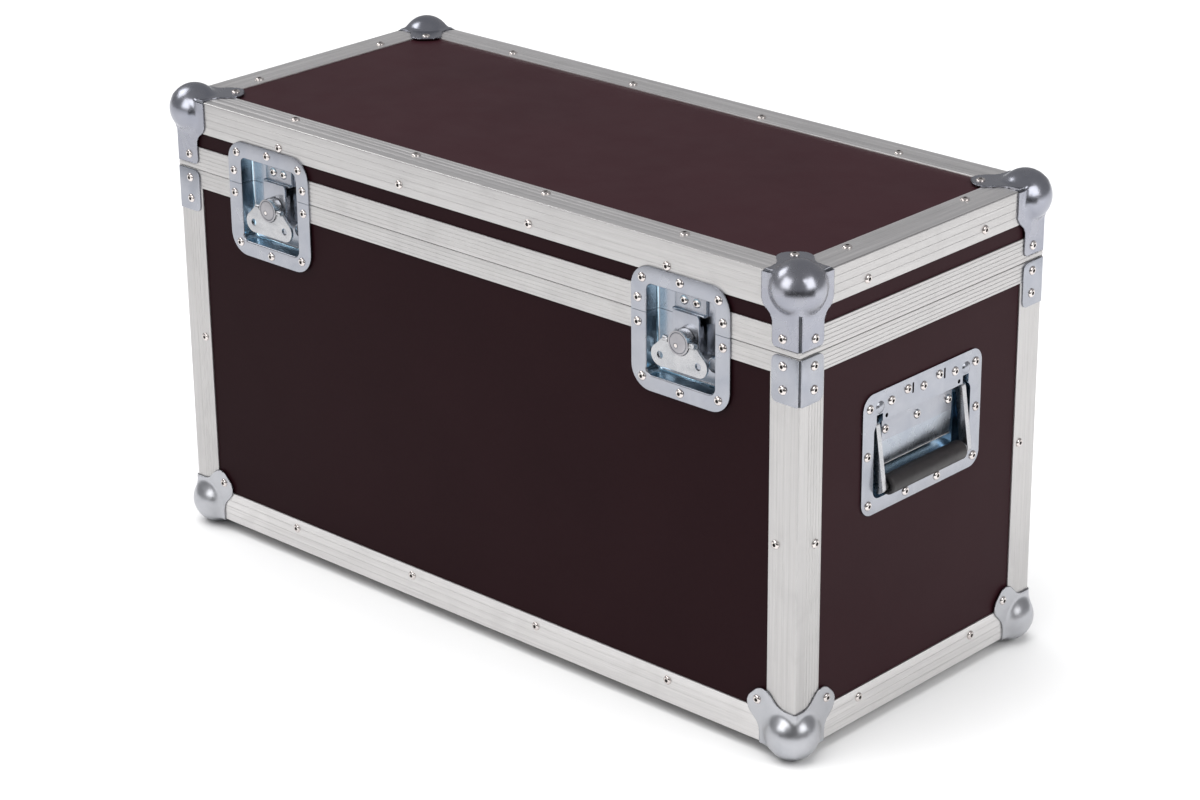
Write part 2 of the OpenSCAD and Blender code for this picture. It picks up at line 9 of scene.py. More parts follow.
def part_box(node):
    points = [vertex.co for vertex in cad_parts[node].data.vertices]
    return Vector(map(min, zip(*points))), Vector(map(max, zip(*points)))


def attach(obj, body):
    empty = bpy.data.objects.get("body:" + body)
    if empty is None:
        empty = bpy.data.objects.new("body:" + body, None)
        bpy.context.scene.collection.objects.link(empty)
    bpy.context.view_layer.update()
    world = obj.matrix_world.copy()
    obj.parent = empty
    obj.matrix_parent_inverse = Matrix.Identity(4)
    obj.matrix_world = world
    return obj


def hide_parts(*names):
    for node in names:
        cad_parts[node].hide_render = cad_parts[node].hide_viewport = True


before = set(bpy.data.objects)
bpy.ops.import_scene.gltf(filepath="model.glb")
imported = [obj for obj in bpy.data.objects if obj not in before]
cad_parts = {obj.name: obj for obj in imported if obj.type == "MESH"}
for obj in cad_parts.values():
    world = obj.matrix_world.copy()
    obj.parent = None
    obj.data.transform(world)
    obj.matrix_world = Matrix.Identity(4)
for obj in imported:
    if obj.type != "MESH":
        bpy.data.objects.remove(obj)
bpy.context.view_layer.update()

# Sizes are in millimetres in the making, and in metres in the scene.
MM = 0.001
ENDS = (-1, 1)
SIDES = ("front", "right", "back", "left")
CORNERS = ("front_left", "front_right", "back_right", "back_left")

scene = bpy.context.scene


# ---- Sizes from the frame ----

def box_mm(node):
    low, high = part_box(node)
    return low / MM, high / MM


edge_low, edge_high = box_mm("bottom_edge_front")
half_w = edge_high.x
half_d = -edge_low.y
z_base = edge_low.z
flange = edge_high.z - edge_low.z
z_top = box_mm("lid_edge_front")[1].z
angle_t = box_mm("body_panel_front")[0].y + half_d
dish_low, dish_high = box_mm("latch_dish_right")
lid_dish_low, lid_dish_high = box_mm("lid_dish_right")
z_split = (dish_high.z + lid_dish_low.z) / 2
half_gap = z_split - dish_high.z
body_rim_low = box_mm("body_rim_back")[0].z
lid_rim_high = box_mm("lid_rim_back")[1].z
rim_depth = half_d + box_mm("body_rim_front")[1].y
latch_x = (dish_low.x + dish_high.x) / 2
latch_w = dish_high.x - dish_low.x
latch_up = lid_dish_high.z - z_split
latch_down = z_split - dish_low.z
plate_t = -half_d - dish_low.y
drum_z = (box_mm("stem_right")[0].z + box_mm("stem_right")[1].z) / 2 - z_split
handle_low, handle_high = box_mm("handle_dish_right")
handle_mid = (handle_low.z + handle_high.z) / 2

# Sizes that no node's box gives. LATCH_PLATE and LATCH_OPENING are (half width, up, down, radius).
SKIN = 1.5
BALL_IN = 12
BALL_R = 22.95
EDGE_ROUND = 1.3
LATCH_PLATE = (latch_w / 2, latch_up, latch_down, 20)
LATCH_OPENING = (36.5, 25, 53, 6)
LATCH_DEPTH = 13.5
LATCH_SHEET = 1.2
HANDLE_SHELF = 6.0
HANDLE_SLOPE_HALF = 46
HANDLE_SLOPE_FOOT = (HANDLE_SHELF + 1.3, -17.3)


# ---- Frames of reference ----

def side_frame(side):
    """X along the side, Y inward from its outer face, Z up."""
    turn = Matrix.Rotation(math.radians(90 * SIDES.index(side)), 4, "Z")
    out = half_d if side in ("front", "back") else half_w
    return turn @ Matrix.Translation((0, -out, 0))


def side_length(side):
    return 2 * (half_w if side in ("front", "back") else half_d)


def corner_frame(corner):
    """X and Y both inward from a vertical corner, Z up."""
    x = half_w if corner.endswith("right") else -half_w
    y = -half_d if corner.startswith("front") else half_d
    return Matrix.Translation((x, y, 0)) @ Matrix.Rotation(math.radians(90 * CORNERS.index(corner)), 4, "Z")


def at(x, y, z):
    return Matrix.Translation((x, y, z))


# HANG turns a shape upside down, and FACE_OUT points its Z out of a side. SWAP_XY mirrors it to a
# corner's other side, and UPRIGHT stands a sweep along X on its end.
HANG = Matrix.Diagonal((1, 1, -1, 1))
FACE_OUT = Matrix.Rotation(math.radians(90), 4, "X")
SWAP_XY = Matrix(((0, 1, 0, 0), (1, 0, 0, 0), (0, 0, 1, 0), (0, 0, 0, 1)))
UPRIGHT = Matrix(((0, 1, 0, 0), (0, 0, 1, 0), (1, 0, 0, 0), (0, 0, 0, 1)))
BOTH_SIDES = (Matrix.Identity(4), SWAP_XY)


def side_name(end):
    return "right" if end > 0 else "left"


def latch_frame(end):
    return at(end * latch_x, -half_d, z_split)


def handle_frame(end):
    return side_frame(side_name(end)) @ at(0, 0, handle_mid)


# ---- Making pieces ----

class Shape:
    """Meshes in millimetres that are collected into one piece."""

    def __init__(self):
        self.verts = []
        self.faces = []
        self.looks = []

    def add(self, verts, faces, place=None, look=0):
        start = len(self.verts)
        place = place or Matrix.Identity(4)
        flip = place.to_3x3().determinant() < 0
        self.verts.extend(place @ Vector(v) for v in verts)
        for face in faces:
            loop = [start + i for i in face]
            self.faces.append(loop[::-1] if flip else loop)
            self.looks.append(look(verts, face) if callable(look) else look)

    def make(self, name, body, materials, nodes, slot, angle=32, fix=True):
        mesh = bpy.data.meshes.new(name)
        mesh.from_pydata([v * MM for v in self.verts], [], self.faces)
        mesh.polygons.foreach_set("material_index", self.looks)
        if fix:
            tidy(mesh)
        return finish_piece(mesh, name, body, materials, nodes, angle)


def tidy(mesh):
    bm = bmesh.new()
    bm.from_mesh(mesh)
    bmesh.ops.recalc_face_normals(bm, faces=bm.faces)
    bm.to_mesh(mesh)
    bm.free()


def finish_piece(mesh, name, body, materials, nodes, angle):
    """Turns a mesh in metres into a piece that rides on a body and stands for CAD nodes."""
    for material in materials:
        mesh.materials.append(material)
    mesh.update()
    mesh.shade_smooth()
    mesh.set_sharp_from_angle(angle=math.radians(angle))
    piece = bpy.data.objects.new(name, mesh)
    scene.collection.objects.link(piece)
    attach(piece, body)
    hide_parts(*nodes)
    return piece


def eased_copy(node, name, body, materials, ease, segments=3, look=None):
    """A CAD node's shape with its sharp edges rounded by so much. look picks a face's material."""
    bm = bmesh.new()
    bm.from_mesh(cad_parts[node].data)
    bmesh.ops.remove_doubles(bm, verts=bm.verts, dist=0.002 * MM)
    bmesh.ops.dissolve_limit(bm, angle_limit=math.radians(0.6), verts=bm.verts, edges=bm.edges)
    sharp = [e for e in bm.edges if len(e.link_faces) == 2 and e.calc_face_angle(0) > math.radians(30)]
    bmesh.ops.bevel(bm, geom=sharp, offset=ease * MM, segments=segments, affect="EDGES", profile=0.5,
                    clamp_overlap=True)
    for face in bm.faces:
        face.material_index = look(face.calc_center_median() / MM) if look else 0
    mesh = bpy.data.meshes.new(name)
    bm.to_mesh(mesh)
    bm.free()
    return finish_piece(mesh, name, body, materials, [node], 28)


# ---- Materials ----

class Look:
    """A node-based material with the few kinds of node that the finishes need."""

    def __init__(self, name):
        self.material = bpy.data.materials.new(name)
        self.material.use_nodes = True
        self.tree = self.material.node_tree
        self.shader = self.tree.nodes["Principled BSDF"]
        self.coords = self.tree.nodes.new("ShaderNodeTexCoord").outputs["Object"]
        self.height = None

    def set(self, **values):
        for name, value in values.items():
            socket = self.shader.inputs[name.replace("_", " ")]
            socket.default_value = value

    def noise(self, density, detail=3.0, stretch=(1, 1, 1), distortion=0.0):
        """Noise with so many features to the metre, stretched along the axes."""
        mapping = self.tree.nodes.new("ShaderNodeMapping")
        mapping.inputs["Scale"].default_value = [density * s for s in stretch]
        self.tree.links.new(self.coords, mapping.inputs["Vector"])
        node = self.tree.nodes.new("ShaderNodeTexNoise")
        node.inputs["Scale"].default_value = 1.0
        node.inputs["Detail"].default_value = detail
        node.inputs["Distortion"].default_value = distortion
        self.tree.links.new(mapping.outputs["Vector"], node.inputs["Vector"])
        return node.outputs["Fac"]

    def level(self, source, low, high, start=0.3, end=0.7):
        node = self.tree.nodes.new("ShaderNodeMapRange")
        for name, value in (("From Min", start), ("From Max", end), ("To Min", low), ("To Max", high)):
            node.inputs[name].default_value = value
        self.tree.links.new(source, node.inputs["Value"])
        return node.outputs["Result"]

    def mix(self, source, first, second):
        """Mixes two colours, or a socket's colour and another, by a 0 to 1 source."""
        node = self.tree.nodes.new("ShaderNodeMix")
        node.data_type = "RGBA"
        for name, value in ((6, first), (7, second)):
            if isinstance(value, tuple):
                node.inputs[name].default_value = (*value, 1)
            else:
                self.tree.links.new(value, node.inputs[name])
        self.tree.links.new(source, node.inputs[0])
        return node.outputs[2]

    def drive(self, name, source):
        self.tree.links.new(source, self.shader.inputs[name])

    def bump(self, source, height, strength=1.0):
        node = self.tree.nodes.new("ShaderNodeBump")
        node.inputs["Distance"].default_value = height * MM
        node.inputs["Strength"].default_value = strength
        self.tree.links.new(source, node.inputs["Height"])
        if self.height is not None:
            self.tree.links.new(self.height, node.inputs["Normal"])
        self.height = node.outputs["Normal"]
        self.tree.links.new(self.height, self.shader.inputs["Normal"])


def film_ply(name, share, sheen):
    """Phenolic film on plywood: a dark brown skin with a faint cloud and fine pimples."""
    look = Look(name)
    first, second, third = (
        tuple(share * v for v in tone)
        for tone in ((0.0150, 0.0043, 0.0060), (0.0175, 0.0052, 0.0071), (0.0230, 0.0078, 0.0100)))
    cloud = look.noise(9, 4)
    fine = look.noise(420, 2)
    base = look.mix(look.level(cloud, 0, 1), first, second)
    look.drive("Base Color", look.mix(look.level(fine, 0, 0.25), base, third))
    look.drive("Roughness", look.level(look.noise(26, 3), 0.36, 0.41))
    look.set(IOR=1.22, Specular_IOR_Level=sheen)
    look.bump(look.noise(900, 2), 0.010)
    look.bump(look.noise(45, 2), 0.02)
    return look.material


def ribbed_aluminium(name, axis, shine):
    """Mill-finish extrusion, with drawing lines that run along the given axis."""
    look = Look(name)
    along = [1.0, 1.0, 1.0]
    along[axis] = 0.012
    lines = look.noise(1400, 3, along)
    bands = look.noise(260, 2, along)
    stain = look.noise(34, 4, distortion=0.6)
    dull, bright, brightest, stained = (
        (shine * share, shine * share * 0.98, shine * share * 0.97) for share in (0.88, 1.08, 1.18, 0.82))
    tone = look.mix(look.level(lines, 0, 1), dull, bright)
    tone = look.mix(look.level(bands, 0, 0.6), tone, brightest)
    look.drive("Base Color", look.mix(look.level(stain, 0, 0.35, 0.5, 0.8), tone, stained))
    look.drive("Roughness", look.level(bands, 0.34, 0.47))
    look.set(Metallic=1.0)
    look.bump(lines, 0.010)
    look.bump(bands, 0.018)
    return look.material


def zinc_plate(name, first, second, stain, rough):
    """Bright zinc plating with its faint blue cast and cloudy gloss."""
    look = Look(name)
    cloud = look.noise(55, 4, distortion=0.5)
    fine = look.noise(700, 3)
    tone = look.mix(look.level(cloud, 0, 1), first, second)
    look.drive("Base Color", look.mix(look.level(look.noise(18, 2), 0, 0.4, 0.45, 0.75), tone, stain))
    look.drive("Roughness", look.level(cloud, rough, rough + 0.07))
    look.set(Metallic=1.0)
    look.bump(fine, 0.002)
    look.bump(look.noise(120, 2), 0.015)
    return look.material


def polished_steel(name, tone, worn, rough):
    look = Look(name)
    fine = look.noise(1100, 3)
    cloud = look.noise(90, 3)
    look.drive("Base Color", look.mix(look.level(cloud, 0, 1), tone, worn))
    look.drive("Roughness", look.level(fine, rough, rough + 0.10))
    look.set(Metallic=1.0)
    look.bump(fine, 0.004)
    return look.material


def black_rubber():
    look = Look("grip_rubber")
    dust = look.noise(300, 4)
    clean, dusty = (0.0075, 0.0062, 0.0066), (0.0135, 0.0112, 0.0118)
    look.drive("Base Color", look.mix(look.level(dust, 0, 1), clean, dusty))
    look.drive("Roughness", look.level(look.noise(80, 3), 0.40, 0.50))
    look.bump(look.noise(1500, 2), 0.012)
    look.bump(look.noise(60, 2), 0.04)
    return look.material


# The mandrel's steel end: partly its own darker tone, partly painted shade for the hollow it sits in.
def mandrel_hole():
    look = Look("mandrel")
    fine = look.noise(1800, 2)
    look.drive("Base Color", look.mix(look.level(fine, 0, 1), (0.020, 0.018, 0.018), (0.070, 0.062, 0.058)))
    look.drive("Roughness", look.level(fine, 0.35, 0.6))
    look.set(Metallic=0.6)
    return look.material


PLY = film_ply("film_ply", 1.0, 0.22)
# A darker, less glossy copy of the same film for the front and back panels: painted shade, for the less
# light they take than the ends.
LONG_PLY_PAINTED_SHADE = film_ply("film_ply_long_painted_shade", 0.72, 0.16)
ALUMINIUM = [ribbed_aluminium("aluminium_" + "xyz"[axis], axis, 0.49) for axis in range(3)]
# Brighter copies of the same extrusion that paint light: one on the lid's flat top flange, one on the bottom
# angles to lift the shaded floor they reflect.
TOP_ALUMINIUM_PAINTED_LIGHT = [ribbed_aluminium("top_aluminium_painted_light_" + "xyz"[axis], axis, 0.84) for axis in range(2)]
LOW_ALUMINIUM_PAINTED_LIGHT = [ribbed_aluminium("low_aluminium_painted_light_" + "xyz"[axis], axis, 0.66) for axis in range(2)]
ZINC = zinc_plate("zinc_steel", (0.31, 0.325, 0.365), (0.385, 0.395, 0.43), (0.37, 0.37, 0.385), 0.21)
# Two tones of one zinc for the ball corners: darker on the lid's, painted shade, and lighter on the
# bottom's, painted light.
ZINC_LID_PAINTED_SHADE = zinc_plate("zinc_lid_ball_painted_shade", (0.29, 0.30, 0.345), (0.36, 0.365, 0.405), (0.33, 0.33, 0.36), 0.23)
ZINC_BALL_PAINTED_LIGHT = zinc_plate("zinc_ball_painted_light", (0.42, 0.43, 0.455), (0.50, 0.505, 0.53), (0.46, 0.46, 0.475), 0.29)
# A bright blue copy of the zinc for the latch dishes' walls: a painted reflection.
ZINC_WALL_PAINTED_REFLECTION = zinc_plate("zinc_wall_painted_reflection", (0.44, 0.66, 0.80), (0.60, 0.78, 0.90), (0.52, 0.70, 0.83), 0.16)
# Copies of the zinc for the handle dishes: a dark blue one paints the shade deep in the recess, and a
# lighter one paints the light on the slope below the shelf.
RECESS_PAINTED_SHADE = zinc_plate("zinc_recess_painted_shade", (0.20, 0.30, 0.40), (0.34, 0.45, 0.55), (0.25, 0.34, 0.43), 0.17)
SLOPE_PAINTED_LIGHT = zinc_plate("zinc_slope_painted_light", (0.33, 0.36, 0.41), (0.40, 0.43, 0.47), (0.36, 0.38, 0.42), 0.24)
STEEL = polished_steel("bright_steel", (0.50, 0.50, 0.51), (0.62, 0.62, 0.62), 0.13)
# Two copies of one steel for the latch drum: a darker one on its face paints shade, a lighter one on its
# side paints light.
DRUM_FACE_PAINTED_SHADE = polished_steel("drum_face_painted_shade_steel", (0.29, 0.285, 0.30), (0.36, 0.35, 0.365), 0.15)
DRUM_SIDE_PAINTED_LIGHT = polished_steel("drum_side_painted_light_steel", (0.66, 0.66, 0.67), (0.80, 0.80, 0.80), 0.19)
SATIN = polished_steel("satin_steel", (0.40, 0.405, 0.42), (0.49, 0.49, 0.50), 0.24)
NICKEL = polished_steel("rivet_nickel", (0.62, 0.565, 0.54), (0.76, 0.72, 0.70), 0.13)
# A dark steel that paints shade: laid in the open seams and in the drum's turned ring.
SEAM_PAINTED_SHADE = polished_steel("shadowed_seam", (0.10, 0.105, 0.12), (0.17, 0.175, 0.19), 0.38)
RUBBER = black_rubber()
MANDREL_AND_PAINTED_SHADE = mandrel_hole()


def along(side, kinds=ALUMINIUM):
    """The aluminium whose drawing lines run along a side."""
    return kinds[0 if side in ("front", "back") else 1]


def use_material(node, material):
    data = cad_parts[node].data
    data.materials.clear()
    data.materials.append(material)


# ---- Profiles of the edging ----

def grooved(start, end, places, width, depth, inward):
    """Points from start to end of a straight flank, with fine rounded grooves at distances from start."""
    start, end, inward = Vector(start), Vector(end), Vector(inward)
    step = (end - start).normalized()
    points = [start]
    for place in places:
        for across, sink in ((-0.5, 0), (-0.3, 0.7), (0, 1), (0.3, 0.7), (0.5, 0)):
            points.append(start + step * (place + across * width) + inward * (sink * depth))
    points.append(end)
    return points


def rounded_corner(corner, before, after, radius, steps=4):
    """Points of a fillet at a corner between two neighbours."""
    corner, before, after = Vector(corner), Vector(before), Vector(after)
    a = (before - corner).normalized() * radius
    b = (after - corner).normalized() * radius
    centre = corner + a + b
    return [centre - b * math.cos(t) - a * math.sin(t) for t in
            (math.pi / 2 * i / steps for i in range(steps + 1))]


def angle_profile(flat_grooves, groove_w, groove_depth):
    """The angle, with its outer corner at the origin, one flange along X and the other along Y."""
    t, r = angle_t, EDGE_ROUND
    ease = 0.5
    end = flange - ease
    face_places = [end - g for g in (22, 15, 8)]
    flat_places = [g - r for g in flat_grooves]
    points = rounded_corner((0, flange), (t, flange), (0, 0), ease, 2)
    points += grooved((0, end), (0, r), face_places, 0.8, 0.16, (1, 0))
    points += rounded_corner((0, 0), (0, flange), (flange, 0), r, 5)
    points += grooved((r, 0), (end, 0), flat_places, groove_w, groove_depth, (0, 1))
    points += rounded_corner((flange, 0), (0, 0), (flange, t), ease, 2)
    points += corners_at((flange, t), (t, t), (t, flange))
    return distinct(points)


def rim_profile(height, grooves, way):
    """A rim's section: a grooved outer wall, a web at the split and an inner wall. way is 1 for the lid."""
    t = angle_t
    ease = 0.45
    inner_h = 14
    inner = rim_depth - t
    web = 7.5 if way > 0 else 2.5
    points = rounded_corner((0, 0), (t + 1, 0), (0, height), ease, 3)
    points += grooved((0, ease), (0, height - ease), [g - ease for g in grooves], 0.8, 0.22, (1, 0))
    points += rounded_corner((0, height), (0, 0), (t, height), ease, 3)
    points += corners_at((t, height), (t, web), (inner, web))
    points += corners_at((inner, inner_h), (rim_depth, inner_h), (rim_depth, 0))
    groove_half, groove_depth = 3.5, 5
    tongue_half, tongue_h = 2, 4
    half, step = (groove_half, groove_depth) if way > 0 else (tongue_half, -tongue_h)
    near, far = rim_depth / 2 - half, rim_depth / 2 + half
    points += corners_at((far, 0), (far, step), (near, step), (near, 0))
    return distinct(points)


def corners_at(*places):
    return [Vector(place) for place in places]


def distinct(points):
    kept = []
    for p in points:
        if not kept or (p - kept[-1]).length > 0.02:
            kept.append(p)
    return kept


def swept(profile, start, end):
    """A profile in depth and height swept along X; start and end say where, from the depth."""
    n = len(profile)
    verts = [(start(p.x), p.x, p.y) for p in profile] + [(end(p.x), p.x, p.y) for p in profile]
    faces = [(i, (i + 1) % n, n + (i + 1) % n, n + i) for i in range(n)]
    return verts, faces + [tuple(range(n))[::-1], tuple(range(n, 2 * n))]


def mitre(sign, length):
    return lambda depth: sign * (length / 2 - depth)


def square_cut(x):
    return lambda depth: x


def on_flat(verts, face):
    """1 for the flange that lies flat, 0 for the upright one."""
    return int(min(verts[i][1] for i in face) > EDGE_ROUND / 2)


def edging():
    fine_grooves, wide_grooves = [12, 15.5, 19, 22.5, 26], [9, 16.5, 22, 26.8]
    angle = angle_profile(fine_grooves, groove_w=1.0, groove_depth=0.34)
    lid_angle = angle_profile(wide_grooves, groove_w=1.9, groove_depth=0.26)
    for side in SIDES:
        length = side_length(side)
        ends = mitre(-1, length), mitre(1, length)
        low = Shape()
        low.add(*swept(angle, *ends), side_frame(side) @ at(0, 0, z_base))
        # The bottom angles take the brighter copy of the aluminium: painted light.
        looks = [along(side, LOW_ALUMINIUM_PAINTED_LIGHT)]
        low.make("bottom_angle_" + side, "case_body", looks, ["bottom_edge_" + side], "edging")
        high = Shape()
        high.add(*swept(lid_angle, *ends), side_frame(side) @ at(0, 0, z_top) @ HANG, on_flat)
        # The lid's flat top flange takes the brighter copy of the aluminium: painted light.
        looks = [along(side), along(side, TOP_ALUMINIUM_PAINTED_LIGHT)]
        high.make("lid_angle_" + side, "lid", looks, ["lid_edge_" + side], "edging")
    ends = square_cut(z_base + flange), square_cut(body_rim_low)
    for corner in CORNERS:
        post = Shape()
        post.add(*swept(angle, *ends), corner_frame(corner) @ UPRIGHT)
        post.make("corner_angle_" + corner, "case_body", [ALUMINIUM[2]], ["corner_edge_" + corner], "edging")


def rims():
    """The rims, cut away on the front where the latches' dishes sit."""
    cut = LATCH_OPENING[0] + 2 * LATCH_SHEET
    body_grooves, lid_grooves = [3.6, 7.2, 10.8, 14.2], [3.8, 7.6, 11.4, 15.2, 19]
    body = rim_profile(z_split - half_gap - body_rim_low, body_grooves, -1)
    lid = rim_profile(lid_rim_high - z_split - half_gap, lid_grooves, 1)
    for side in SIDES:
        length = side_length(side)
        stops = [(mitre(-1, length), mitre(1, length))]
        if side == "front":
            stops = [
                (mitre(-1, length), square_cut(-latch_x - cut)),
                (square_cut(-latch_x + cut), square_cut(latch_x - cut)),
                (square_cut(latch_x + cut), mitre(1, length)),
            ]
        low, high = Shape(), Shape()
        for start, end in stops:
            low.add(*swept(body, start, end), side_frame(side) @ at(0, 0, z_split - half_gap) @ HANG)
            high.add(*swept(lid, start, end), side_frame(side) @ at(0, 0, z_split + half_gap))
        low.make("body_rim_rail_" + side, "case_body", [along(side)], ["body_rim_" + side], "edging")
        high.make("lid_rim_rail_" + side, "lid", [along(side)], ["lid_rim_" + side], "edging")


# ---- Ball corners, from a distance field ----

def blend_min(a, b, size):
    h = np.clip(0.5 + 0.5 * (b - a) / size, 0, 1)
    return b * (1 - h) + a * h - size * h * (1 - h)


def rect(u, v, u0, u1, v0, v1, r):
    """Distance to a rounded rectangle."""
    du = np.abs(u - (u0 + u1) / 2) - (u1 - u0) / 2 + r
    dv = np.abs(v - (v0 + v1) / 2) - (v1 - v0) / 2 + r
    outside = np.hypot(np.maximum(du, 0), np.maximum(dv, 0))
    return outside + np.minimum(np.maximum(du, dv), 0) - r


def octant(p, skin, r):
    """Distance to the region beyond three planes set out by skin, with rounded edges."""
    q = r - skin - p
    outside = np.sqrt((np.maximum(q, 0) ** 2).sum(-1))
    return outside + np.minimum(q.max(-1), 0) - r


def lobed_outline(u, v):
    """Distance to a square plate with a lobe out along its diagonal."""
    square = rect(u, v, -9, 36.5, -9, 36.5, 4)
    s, w = (u + v) / math.sqrt(2), (u - v) / math.sqrt(2)
    lobe = rect(s, w, 10, 62.2, -14.8, 14.8, 11.5)
    return blend_min(square, lobe, 5)


def leg_outline(u, v):
    """Distance to a plate with a long leg along v."""
    wide = rect(u, v, -9, 39, -9, 31, 9.5)
    leg = rect(u, v, -9, 27.8, -9, 60.3, 5)
    return blend_min(wide, leg, 11)


def ball_corner(p, side_outline, slots, fillet):
    """Distance field of a ball corner in its own frame, where the case fills x, y, z > 0."""
    x, y, z = p[..., 0], p[..., 1], p[..., 2]
    shell = octant(p, SKIN, 2.6)
    reach = 1.0
    masks = [
        np.maximum(side_outline(x, z), y - reach),
        np.maximum(side_outline(y, z), x - reach),
        np.maximum(lobed_outline(x, y), z - reach),
    ]
    plates = np.maximum(shell, np.minimum(np.minimum(masks[0], masks[1]), masks[2]))
    for cut in slots(x, y, z):
        plates = np.maximum(plates, -cut)
    ball = np.sqrt(((p - BALL_IN) ** 2).sum(-1)) - BALL_R
    return np.maximum(blend_min(plates, ball, fillet), -octant(p, 0.0, 1.0))


def no_slots(x, y, z):
    return []


def seams(x, y, z):
    """The open seams of a lid corner: down the vertical edge, and along both top edges."""
    upright = np.maximum(np.maximum(x - 0.9, y - 0.9), 29.5 - z)
    along_x = np.maximum(np.maximum(z - 0.8, y - 0.8), 25.5 - x)
    along_y = np.maximum(np.maximum(z - 0.8, x - 0.8), 25.5 - y)
    return [upright, along_x, along_y]


def bottom_corner_field(p):
    return ball_corner(p, lobed_outline, no_slots, 4.2)


def lid_corner_field(p):
    return ball_corner(p, leg_outline, seams, 3.2)


def edge_crossings(f):
    """The sum of the places where each cell's edges cross zero, and the count of those edges."""
    cells = np.array(f.shape) - 1
    total = np.zeros((*cells, 3))
    count = np.zeros(tuple(cells))
    for axis in range(3):
        u, v = [a for a in range(3) if a != axis]
        for du in (0, 1):
            for dv in (0, 1):
                first = [slice(0, cells[a]) for a in range(3)]
                first[u] = slice(du, du + cells[u])
                first[v] = slice(dv, dv + cells[v])
                second = list(first)
                second[axis] = slice(1, 1 + cells[axis])
                f0, f1 = f[tuple(first)], f[tuple(second)]
                crossed = (f0 < 0) != (f1 < 0)
                share = np.where(crossed, f0 / np.where(crossed, f0 - f1, 1), 0)
                total[..., axis] += share
                total[..., u] += crossed * du
                total[..., v] += crossed * dv
                count += crossed
    return total, count


def edge_quads(inside, index):
    """A quad of four cells' points round each grid edge that crosses the surface, wound outward."""
    cells = index.shape
    quads = []
    for axis in range(3):
        u, v = [a for a in range(3) if a != axis]
        here = [slice(1, cells[a]) for a in range(3)]
        here[axis] = slice(0, cells[axis])
        there = list(here)
        there[axis] = slice(1, 1 + cells[axis])
        a, b = inside[tuple(here)], inside[tuple(there)]
        for wanted, order in ((a & ~b, 1), (b & ~a, -1)):
            cell = np.argwhere(wanted)
            offset = np.ones(3, int)
            offset[axis] = 0
            cell = cell + offset
            ring = []
            for du, dv in ((1, 1), (0, 1), (0, 0), (1, 0)):
                c = cell.copy()
                c[:, u] -= du
                c[:, v] -= dv
                ring.append(index[tuple(c.T)])
            quad = np.stack(ring[::order * (1 if axis != 1 else -1)], 1)
            quads.append(quad)
    return np.concatenate(quads)


def surface_net(field, low, high, step):
    """The zero surface of a distance field as a mesh of quads, with its points pulled onto it."""
    axes = [np.arange(low, high + step, step)] * 3
    f = field(np.stack(np.meshgrid(*axes, indexing="ij"), -1))
    total, count = edge_crossings(f)
    used = count > 0
    index = -np.ones(count.shape, int)
    index[used] = np.arange(used.sum())
    points = (np.argwhere(used) + total[used] / count[used][:, None]) * step + low
    quads = edge_quads(f < 0, index)
    for _ in range(3):
        value, slope = field(points), gradient(field, points)
        pull = np.clip(value, -step / 2, step / 2)[:, None] * slope
        points = points - pull / np.maximum((slope ** 2).sum(-1, keepdims=True), 0.3)
    return points, quads, gradient(field, points)


def gradient(field, points, reach=0.12):
    out = np.empty_like(points)
    for axis in range(3):
        d = np.zeros(3)
        d[axis] = reach
        out[:, axis] = (field(points + d) - field(points - d)) / (2 * reach)
    return out


NET_LOW = -12.6
NET_STEP = 0.85


def corner_piece(name, body, node, field, high, places, material):
    """One ball corner's mesh, repeated at the four corners as one piece."""
    points, quads, slopes = surface_net(field, NET_LOW, high, NET_STEP)
    verts, faces, normals = [], [], []
    for place in places:
        m = np.array(place)
        turn = m[:3, :3]
        start = sum(len(v) for v in verts)
        verts.append(points @ turn.T + m[:3, 3])
        normals.append(slopes @ turn.T)
        flip = np.linalg.det(turn) < 0
        faces.append((quads[:, ::-1] if flip else quads) + start)
    verts, faces, normals = (np.concatenate(part) for part in (verts, faces, normals))
    mesh = bpy.data.meshes.new(name)
    mesh.from_pydata((verts * MM).tolist(), [], faces.tolist())
    piece = finish_piece(mesh, name, body, [material], [node], 180)
    normals /= np.maximum(np.linalg.norm(normals, axis=1, keepdims=True), 1e-6)
    mesh.normals_split_custom_set_from_vertices(normals.tolist())
    return piece


def ball_corners():
    low = [corner_frame(c) @ at(0, 0, z_base) for c in CORNERS]
    high = [corner_frame(c) @ at(0, 0, z_top) @ HANG for c in CORNERS]
    low_reach, high_reach = 54, 62
    # The bottom corners take the lighter copy of the zinc and the lid's the darker one: painted light and
    # painted shade.
    corner_piece("bottom_ball_corner_set", "case_body", "bottom_ball_corners",
                 bottom_corner_field, low_reach, low, ZINC_BALL_PAINTED_LIGHT)
    corner_piece("lid_ball_corner_set", "lid", "lid_ball_corners",
                 lid_corner_field, high_reach, high, ZINC_LID_PAINTED_SHADE)


# ---- Braces, and dark strips that paint the shade in the open seams of the corners ----

def tab(x0, x1, z0, z1, inner_r, outer_r, shrink, y, steps=5):
    """A plate's outline with small corners at x0 and large ones at x1, at one depth."""
    corners = (
        (x1 - outer_r, z1 - outer_r, outer_r, 0),
        (x0 + inner_r, z1 - inner_r, inner_r, 90),
        (x0 + inner_r, z0 + inner_r, inner_r, 180),
        (x1 - outer_r, z0 + outer_r, outer_r, 270),
    )
    points = []
    for cx, cz, r, turn in corners:
        for i in range(steps + 1):
            a = math.radians(turn + 90 * i / steps)
            points.append((cx + (r - shrink) * math.cos(a), y, cz + (r - shrink) * math.sin(a)))
    return points


